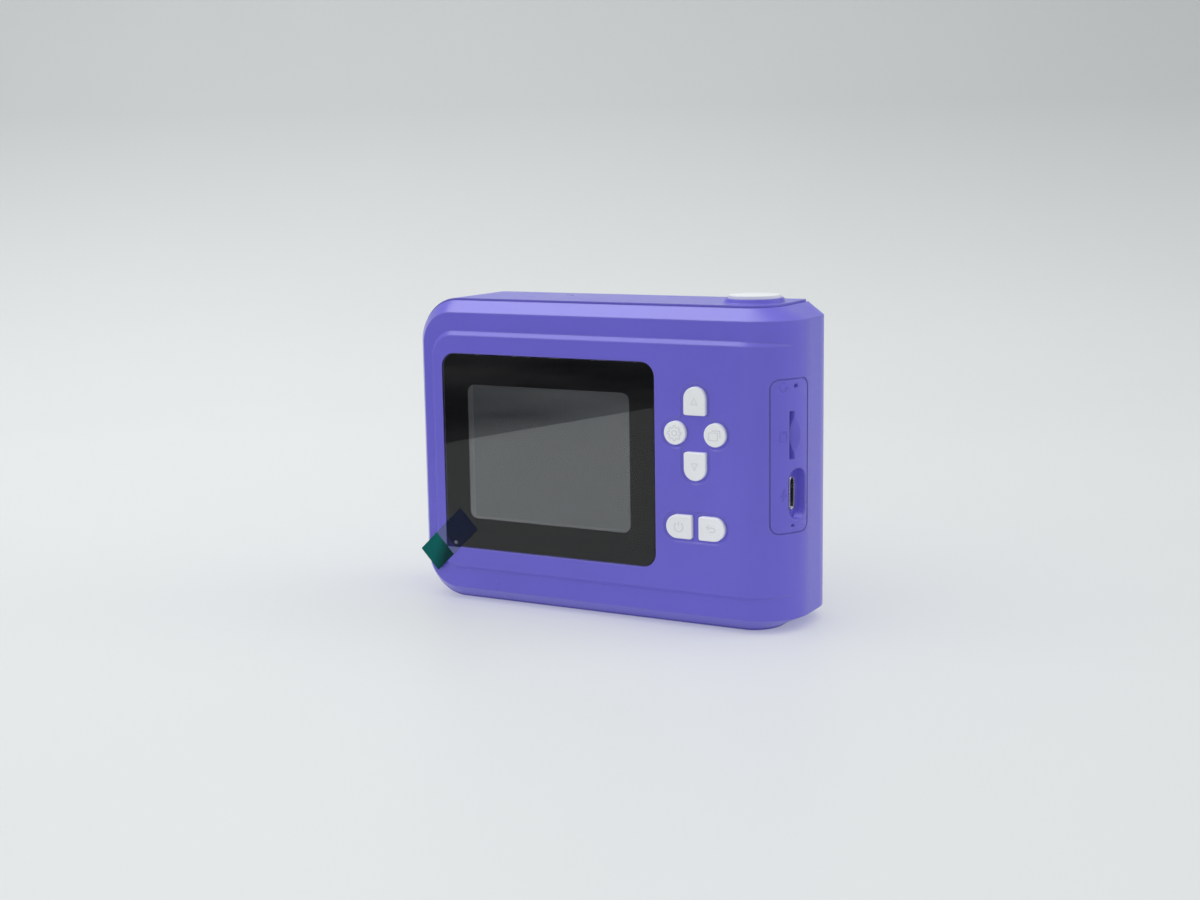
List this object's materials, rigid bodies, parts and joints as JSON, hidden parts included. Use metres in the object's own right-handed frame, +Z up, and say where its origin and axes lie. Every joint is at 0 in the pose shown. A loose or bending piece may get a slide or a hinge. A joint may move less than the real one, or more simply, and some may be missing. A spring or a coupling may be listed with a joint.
{
  "type": "kids digital camera",
  "caption": "Pocket camera for children: a plastic case wrapped round one end, with a screen, press keys, a shutter button, side sockets and a lens ring.",
  "frame": {"origin": "middle of the base, halfway between the screen face and the lens face of the case", "axes": "+Z up, +Y from the screen side to the lens side, +X to the right as the user sees the screen"},
  "size_m": [0.1128, 0.039, 0.0871],
  "materials": {
    "body_shell": "satin moulded ABS, purple",
    "key_white": "satin moulded ABS, cool white",
    "shutter_white": "satin moulded ABS, cool white",
    "window_clear": "polished acrylic window",
    "black_print": "black ink print behind the window",
    "lcd_glass": "switched-off liquid crystal panel under its polariser",
    "tray_steel": "pressed steel",
    "ribbon_film": "amber polyimide ribbon",
    "clear_film": "thin protective film with a blue cast",
    "green_tab": "glossy green pull tab",
    "switch_steel": "pressed steel covers",
    "black_plastic": "moulded black nylon",
    "circuit_board": "green solder mask",
    "chip_epoxy": "moulded epoxy",
    "socket_steel": "plated steel",
    "battery_foil": "laminated aluminium pouch",
    "white_plastic": "moulded nylon",
    "wire_sleeve": "wire insulation",
    "lens_glass": "coated glass",
    "ring_white": "gloss moulded ABS, white",
    "frosted_window": "frosted polycarbonate",
    "lamp_yellow": "phosphor over a lamp chip",
    "speaker_black": "black frame and cone",
    "foam_black": "closed-cell foam",
    "screw_steel": "plated steel",
    "stem_plastic": "moulded black plastic"
  },
  "bodies": {
    "housing": {"back_housing": "body_shell", "front_housing": "body_shell", "screen_window": "window_clear", "screen_mask": "black_print", "lcd_panel": "lcd_glass", "lcd_tray": "tray_steel", "lcd_ribbon": "ribbon_film", "screen_film": "clear_film", "film_tab": "green_tab", "key_switches": "switch_steel", "shutter_switch": "black_plastic", "shutter_board": "circuit_board", "main_board": "circuit_board", "board_components": "black_plastic", "processor_chip": "chip_epoxy", "memory_chip": "chip_epoxy", "usb_shell": "socket_steel", "usb_tongue": "black_plastic", "card_socket": "socket_steel", "reset_switch": "black_plastic", "microphone": "socket_steel", "battery_cell": "battery_foil", "battery_plug": "white_plastic", "battery_leads": "wire_sleeve", "sensor_board": "circuit_board", "image_sensor": "chip_epoxy", "lens_holder": "black_plastic", "lens_barrel": "black_plastic", "lens_element": "lens_glass", "lens_ring": "ring_white", "lens_window": "lens_glass", "camera_ribbon": "ribbon_film", "flash_window": "frosted_window", "flash_board": "circuit_board", "flash_lamp": "lamp_yellow", "speaker": "speaker_black", "speaker_foam": "foam_black", "case_screws": "screw_steel", "board_screws": "screw_steel"},
    "up_button": {"up_key": "key_white", "up_switch_stem": "stem_plastic"},
    "down_button": {"down_key": "key_white", "down_switch_stem": "stem_plastic"},
    "settings_button": {"settings_key": "key_white", "settings_switch_stem": "stem_plastic"},
    "mode_button": {"mode_key": "key_white", "mode_switch_stem": "stem_plastic"},
    "power_button": {"power_key": "key_white", "power_switch_stem": "stem_plastic"},
    "return_button": {"return_key": "key_white", "return_switch_stem": "stem_plastic"},
    "shutter": {"shutter_button": "shutter_white", "shutter_switch_stem": "stem_plastic"}
  },
  "joints": [
    {"name": "up_press", "type": "slide", "parent": "housing", "child": "up_button", "axis": [0, 1, 0], "range_m": [0, 0.00035], "stiffness_N_per_m": 500, "springref_m": -0.0008},
    {"name": "down_press", "type": "slide", "parent": "housing", "child": "down_button", "axis": [0, 1, 0], "range_m": [0, 0.00035], "stiffness_N_per_m": 500, "springref_m": -0.0008},
    {"name": "settings_press", "type": "slide", "parent": "housing", "child": "settings_button", "axis": [0, 1, 0], "range_m": [0, 0.00035], "stiffness_N_per_m": 500, "springref_m": -0.0008},
    {"name": "mode_press", "type": "slide", "parent": "housing", "child": "mode_button", "axis": [0, 1, 0], "range_m": [0, 0.00035], "stiffness_N_per_m": 500, "springref_m": -0.0008},
    {"name": "power_press", "type": "slide", "parent": "housing", "child": "power_button", "axis": [0, 1, 0], "range_m": [0, 0.00035], "stiffness_N_per_m": 500, "springref_m": -0.0008},
    {"name": "return_press", "type": "slide", "parent": "housing", "child": "return_button", "axis": [0, 1, 0], "range_m": [0, 0.00035], "stiffness_N_per_m": 500, "springref_m": -0.0008},
    {"name": "shutter_press", "type": "slide", "parent": "housing", "child": "shutter", "axis": [0, 0, -1], "range_m": [0, 0.0008], "stiffness_N_per_m": 600, "springref_m": -0.0015}
  ]
}
